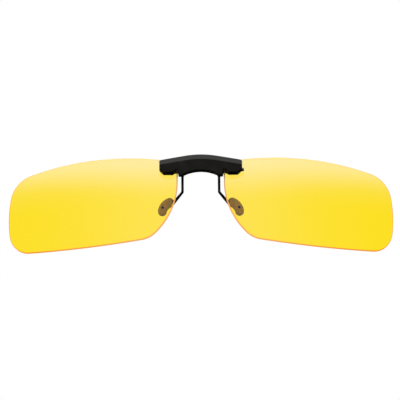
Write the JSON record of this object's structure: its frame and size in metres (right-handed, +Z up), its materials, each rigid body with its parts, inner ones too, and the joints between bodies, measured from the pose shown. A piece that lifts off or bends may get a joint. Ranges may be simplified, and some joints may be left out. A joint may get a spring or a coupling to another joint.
{
  "type": "clip-on flip-up lenses",
  "caption": "Flip-up tinted clip-on: rimless curved lenses on a bridge bar, hinged to a sprung clip whose padded wire jaws grip spectacle lenses.",
  "frame": {"origin": "midway between the four grip pads, on the plane where the front and rear jaws meet and on the symmetry plane: the top edge zone of a spectacle lens pair is held there", "axes": "+X across the face to the right as seen from the front, -Y towards the front that looks away from the wearer, +Z up"},
  "size_m": [0.1294, 0.0169, 0.032],
  "materials": {
    "black_plastic": "satin moulded",
    "lens_tint": "clear yellow tint, polished",
    "wire_black": "black coated wire",
    "pad_silicone": "smoky translucent silicone",
    "pin_steel": "blackened steel",
    "spring_steel": "drawn spring wire"
  },
  "bodies": {
    "grip_frame": {"jaw_frame": "black_plastic", "hinge_pin": "pin_steel", "front_wire_left": "wire_black", "front_wire_right": "wire_black", "front_pad_left": "pad_silicone", "front_pad_right": "pad_silicone", "friction_washer_left": "black_plastic", "friction_washer_right": "black_plastic", "torsion_spring": "spring_steel"},
    "lens_carrier": {"bridge_bar": "black_plastic", "end_peg": "pin_steel", "lens_left": "lens_tint", "lens_right": "lens_tint", "lens_keeper_left": "black_plastic", "lens_keeper_right": "black_plastic", "lens_pins_left": "pin_steel", "lens_pins_right": "pin_steel"},
    "rear_lever": {"thumb_lever": "black_plastic", "rear_wire_left": "wire_black", "rear_wire_right": "wire_black", "rear_pad_left": "pad_silicone", "rear_pad_right": "pad_silicone"}
  },
  "joints": [
    {"name": "lens_flip", "type": "hinge", "parent": "grip_frame", "child": "lens_carrier", "pos_m": [0, -0.00185, 0.0125], "axis": [-1, 0, 0], "range_deg": [0, 90]},
    {"name": "clamp_squeeze", "type": "hinge", "parent": "grip_frame", "child": "rear_lever", "pos_m": [0, -0.00185, 0.0125], "axis": [1, 0, 0], "range_deg": [0, 20], "stiffness_Nm_per_rad": 0.03, "springref_deg": -24.06, "deforming": ["torsion_spring"]}
  ]
}
